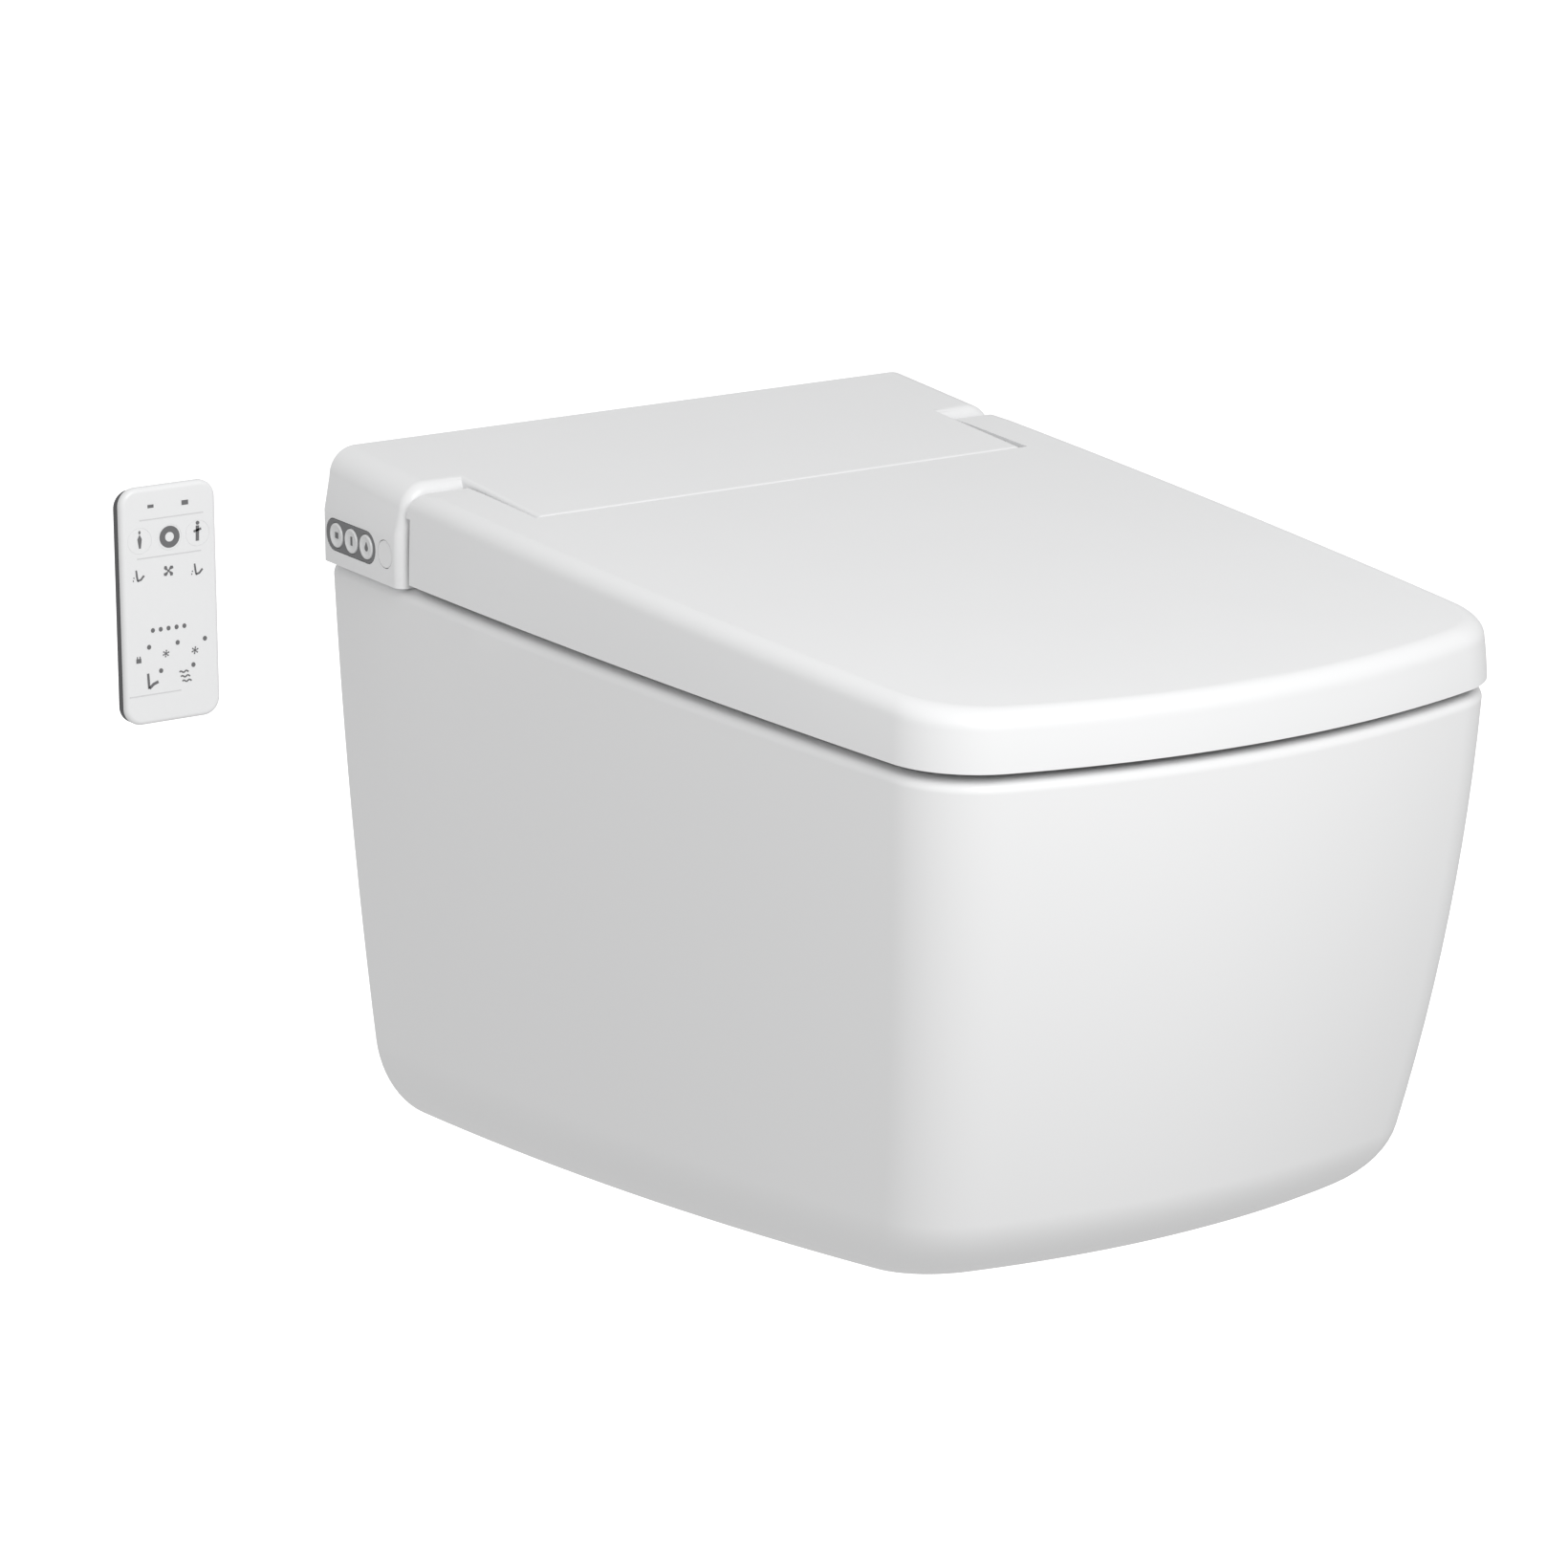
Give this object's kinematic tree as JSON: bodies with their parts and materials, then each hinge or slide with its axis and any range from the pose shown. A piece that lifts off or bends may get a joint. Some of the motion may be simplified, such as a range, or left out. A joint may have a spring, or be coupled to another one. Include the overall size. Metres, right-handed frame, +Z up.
{
  "type": "electric bidet seat",
  "caption": "Wall-hung shower toilet: ceramic bowl with an electric bidet seat, flat soft-close lid, spray wand, warm-air dryer and a wall remote control.",
  "frame": {"origin": "on the wall face of the bowl, midway between the two wall studs", "axes": "+Z up, +Y towards the wall, +X to the right for somebody facing the wall; the front tip points along -Y"},
  "size_m": [0.5323, 0.6015, 0.4057],
  "materials": {
    "ceramic": "glossy white glaze",
    "white_plastic": "glossy white moulded plastic",
    "inner_plastic": "plain moulded plastic",
    "dark_plastic": "dark grey satin plastic",
    "grey_plastic": "mid grey satin plastic",
    "light_plastic": "light grey satin plastic",
    "rubber": "soft grey rubber",
    "steel": "plain machined steel",
    "board": "green circuit board",
    "foil": "etched foil on film"
  },
  "bodies": {
    "base": {"ceramic_bowl": "ceramic", "rear_housing": "white_plastic", "remote_receiver": "white_plastic", "fixing_bush_left": "inner_plastic", "fixing_bush_right": "inner_plastic", "base_plate": "inner_plastic", "water_heater": "inner_plastic", "inlet_valve": "inner_plastic", "wand_guide": "inner_plastic", "dryer_duct": "inner_plastic", "power_supply": "dark_plastic", "seat_sensor": "dark_plastic", "water_pump": "dark_plastic", "seat_damper": "dark_plastic", "lid_damper": "dark_plastic", "remote_holder": "dark_plastic", "button_bezel": "grey_plastic", "deodoriser_filter": "grey_plastic", "wand_wiper": "rubber", "flush_seal": "rubber", "waste_seal": "rubber", "mains_gland": "rubber", "supply_hose": "rubber", "fixing_nut_left": "steel", "fixing_nut_right": "steel", "mounting_bolt_left": "steel", "mounting_bolt_right": "steel", "wand_motor": "steel", "dryer_motor": "steel", "button_board": "board", "control_board": "board"},
    "seat": {"seat_shell": "white_plastic", "seat_base": "inner_plastic", "seat_heater": "foil", "seat_buffer_rear_left": "rubber", "seat_buffer_rear_right": "rubber", "seat_buffer_front_left": "rubber", "seat_buffer_front_right": "rubber", "seat_hinge_pin": "steel"},
    "lid": {"lid_shell": "white_plastic", "lid_liner": "white_plastic", "lid_buffer_left": "rubber", "lid_buffer_right": "rubber", "lid_hinge_pin": "steel"},
    "stop_button": {"stop_button": "light_plastic"},
    "rear_wash_button": {"rear_wash_button": "light_plastic"},
    "front_wash_button": {"front_wash_button": "light_plastic"},
    "wand": {"spray_wand": "white_plastic", "nozzle_tip": "white_plastic"},
    "wand_pinion": {"wand_pinion": "inner_plastic"},
    "dryer_impeller": {"dryer_impeller": "dark_plastic"},
    "dryer_flap": {"dryer_flap": "white_plastic"},
    "remote": {"remote_front": "white_plastic", "remote_back": "dark_plastic", "remote_board": "board", "coin_cell": "steel"},
    "stop_key": {"stop_key": "white_plastic"},
    "rear_wash_key": {"rear_wash_key": "white_plastic"},
    "front_wash_key": {"front_wash_key": "white_plastic"},
    "battery_door": {"battery_door": "dark_plastic"}
  },
  "joints": [
    {"name": "seat_hinge", "type": "hinge", "parent": "base", "child": "seat", "pos_m": [0, -0.102, 0.1205], "axis": [1, 0, 0], "range_deg": [-92, 0]},
    {"name": "lid_hinge", "type": "hinge", "parent": "seat", "child": "lid", "pos_m": [0, -0.102, 0.1205], "axis": [-1, 0, 0], "range_deg": [0, 95]},
    {"name": "stop_button_press", "type": "slide", "parent": "base", "child": "stop_button", "axis": [1, 0, 0], "range_m": [0, 0.001], "stiffness_N_per_m": 500},
    {"name": "rear_wash_button_press", "type": "slide", "parent": "base", "child": "rear_wash_button", "axis": [1, 0, 0], "range_m": [0, 0.001], "stiffness_N_per_m": 500},
    {"name": "front_wash_button_press", "type": "slide", "parent": "base", "child": "front_wash_button", "axis": [1, 0, 0], "range_m": [0, 0.001], "stiffness_N_per_m": 500},
    {"name": "wand_slide", "type": "slide", "parent": "base", "child": "wand", "axis": [0, -0.9613, -0.2756], "range_m": [0, 0.095]},
    {"name": "wand_drive", "type": "hinge", "parent": "base", "child": "wand_pinion", "pos_m": [0, -0.1277, 0.10092], "axis": [1, 0, 0], "range_deg": [-910, 0]},
    {"name": "dryer_spin", "type": "hinge", "parent": "base", "child": "dryer_impeller", "pos_m": [0.0575, -0.06, 0.098], "axis": [0, 0, 1], "continuous": true},
    {"name": "dryer_flap_hinge", "type": "hinge", "parent": "base", "child": "dryer_flap", "pos_m": [0.0575, -0.1594, 0.0784], "axis": [-1, 0, 0], "range_deg": [0, 55]},
    {"name": "remote_lift", "type": "slide", "parent": "base", "child": "remote", "axis": [0, 0, 1], "range_m": [0, 0.03]},
    {"name": "stop_key_press", "type": "slide", "parent": "remote", "child": "stop_key", "axis": [0, 1, 0], "range_m": [0, 0.0005], "stiffness_N_per_m": 500},
    {"name": "rear_wash_key_press", "type": "slide", "parent": "remote", "child": "rear_wash_key", "axis": [0, 1, 0], "range_m": [0, 0.0005], "stiffness_N_per_m": 500},
    {"name": "front_wash_key_press", "type": "slide", "parent": "remote", "child": "front_wash_key", "axis": [0, 1, 0], "range_m": [0, 0.0005], "stiffness_N_per_m": 500},
    {"name": "battery_door_turn", "type": "hinge", "parent": "remote", "child": "battery_door", "pos_m": [-0.3037, -0.00525, 0.115], "axis": [0, 1, 0], "range_deg": [0, 30]}
  ],
  "couplings": [
    {"joint": "wand_drive", "follows": "wand_slide", "rad_per_m": -166.67}
  ]
}
